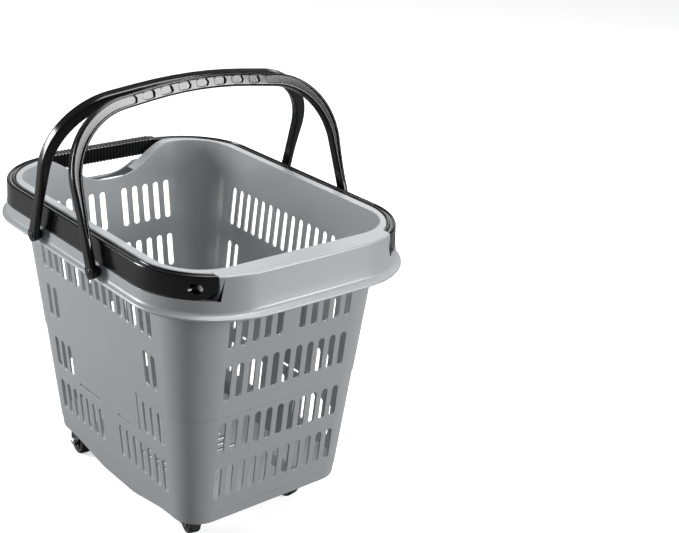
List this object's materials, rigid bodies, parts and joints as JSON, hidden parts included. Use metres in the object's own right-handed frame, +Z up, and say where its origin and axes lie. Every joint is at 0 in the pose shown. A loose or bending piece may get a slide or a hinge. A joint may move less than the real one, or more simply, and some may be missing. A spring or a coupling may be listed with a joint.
{
  "type": "rolling basket trolley",
  "caption": "Slotted plastic shopping basket on swivel casters, with a pull handle nested in its rim and two folding carry handles.",
  "frame": {"origin": "on the floor at the centre of the object's box", "axes": "+Z up; +X towards the short side where the pull handle pivots; +Y to the left when looking along +X"},
  "size_m": [0.4928, 0.3724, 0.5429],
  "materials": {
    "grey_plastic": "moulded polypropylene, satin",
    "black_plastic": "moulded nylon, glossy",
    "black_nylon": "moulded nylon, satin",
    "rubber_tyre": "matte",
    "nickel": "bright nickel plate"
  },
  "bodies": {
    "basket": {"basket_tub": "grey_plastic", "pull_pivot_screw_near": "nickel", "pull_pivot_screw_far": "nickel", "carry_pin_front_near": "nickel", "carry_pin_front_far": "nickel", "carry_pin_rear_near": "nickel", "carry_pin_rear_far": "nickel", "caster_front_near_plate": "black_nylon", "caster_front_near_kingpin": "nickel", "screw_front_near_a1": "nickel", "screw_front_near_a2": "nickel", "screw_front_near_b1": "nickel", "screw_front_near_b2": "nickel", "caster_front_far_plate": "black_nylon", "caster_front_far_kingpin": "nickel", "screw_front_far_a1": "nickel", "screw_front_far_a2": "nickel", "screw_front_far_b1": "nickel", "screw_front_far_b2": "nickel", "caster_rear_near_plate": "black_nylon", "caster_rear_near_kingpin": "nickel", "screw_rear_near_a1": "nickel", "screw_rear_near_a2": "nickel", "screw_rear_near_b1": "nickel", "screw_rear_near_b2": "nickel", "caster_rear_far_plate": "black_nylon", "caster_rear_far_kingpin": "nickel", "screw_rear_far_a1": "nickel", "screw_rear_far_a2": "nickel", "screw_rear_far_b1": "nickel", "screw_rear_far_b2": "nickel"},
    "pull_handle": {"pull_handle": "black_plastic"},
    "carry_front": {"carry_handle_front": "black_plastic"},
    "carry_rear": {"carry_handle_rear": "black_plastic"},
    "swivel_front_near": {"caster_front_near_fork": "black_nylon", "caster_front_near_axle_bolt": "nickel", "caster_front_near_axle_nut": "nickel"},
    "wheel_front_near": {"caster_front_near_hub": "black_nylon", "caster_front_near_tyre": "rubber_tyre"},
    "swivel_front_far": {"caster_front_far_fork": "black_nylon", "caster_front_far_axle_bolt": "nickel", "caster_front_far_axle_nut": "nickel"},
    "wheel_front_far": {"caster_front_far_hub": "black_nylon", "caster_front_far_tyre": "rubber_tyre"},
    "swivel_rear_near": {"caster_rear_near_fork": "black_nylon", "caster_rear_near_axle_bolt": "nickel", "caster_rear_near_axle_nut": "nickel"},
    "wheel_rear_near": {"caster_rear_near_hub": "black_nylon", "caster_rear_near_tyre": "rubber_tyre"},
    "swivel_rear_far": {"caster_rear_far_fork": "black_nylon", "caster_rear_far_axle_bolt": "nickel", "caster_rear_far_axle_nut": "nickel"},
    "wheel_rear_far": {"caster_rear_far_hub": "black_nylon", "caster_rear_far_tyre": "rubber_tyre"}
  },
  "joints": [
    {"name": "pull_handle_lift", "type": "hinge", "parent": "basket", "child": "pull_handle", "pos_m": [0.208, 0, 0.3785], "axis": [0, 1, 0], "range_deg": [0, 15]},
    {"name": "carry_front_fold", "type": "hinge", "parent": "basket", "child": "carry_front", "pos_m": [0.068, 0, 0.358], "axis": [0, 1, 0], "range_deg": [0, 108]},
    {"name": "carry_rear_fold", "type": "hinge", "parent": "basket", "child": "carry_rear", "pos_m": [-0.068, 0, 0.358], "axis": [0, -1, 0], "range_deg": [0, 108]},
    {"name": "swivel_front_near_turn", "type": "hinge", "parent": "basket", "child": "swivel_front_near", "pos_m": [0.116, -0.076, 0.05], "axis": [0, 0, 1], "continuous": true},
    {"name": "wheel_front_near_roll", "type": "hinge", "parent": "swivel_front_near", "child": "wheel_front_near", "pos_m": [0.10041, -0.0724, 0.019], "axis": [0.225, 0.9744, 0], "continuous": true},
    {"name": "swivel_front_far_turn", "type": "hinge", "parent": "basket", "child": "swivel_front_far", "pos_m": [0.116, 0.076, 0.05], "axis": [0, 0, 1], "continuous": true},
    {"name": "wheel_front_far_roll", "type": "hinge", "parent": "swivel_front_far", "child": "wheel_front_far", "pos_m": [0.10024, 0.07322, 0.019], "axis": [-0.1736, 0.9848, 0], "continuous": true},
    {"name": "swivel_rear_near_turn", "type": "hinge", "parent": "basket", "child": "swivel_rear_near", "pos_m": [-0.126, -0.09, 0.05], "axis": [0, 0, 1], "continuous": true},
    {"name": "wheel_rear_near_roll", "type": "hinge", "parent": "swivel_rear_near", "child": "wheel_rear_near", "pos_m": [-0.14194, -0.08861, 0.019], "axis": [0.0872, 0.9962, 0], "continuous": true},
    {"name": "swivel_rear_far_turn", "type": "hinge", "parent": "basket", "child": "swivel_rear_far", "pos_m": [-0.126, 0.09, 0.05], "axis": [0, 0, 1], "continuous": true},
    {"name": "wheel_rear_far_roll", "type": "hinge", "parent": "swivel_rear_far", "child": "wheel_rear_far", "pos_m": [-0.14153, 0.08613, 0.019], "axis": [-0.2419, 0.9703, 0], "continuous": true}
  ]
}
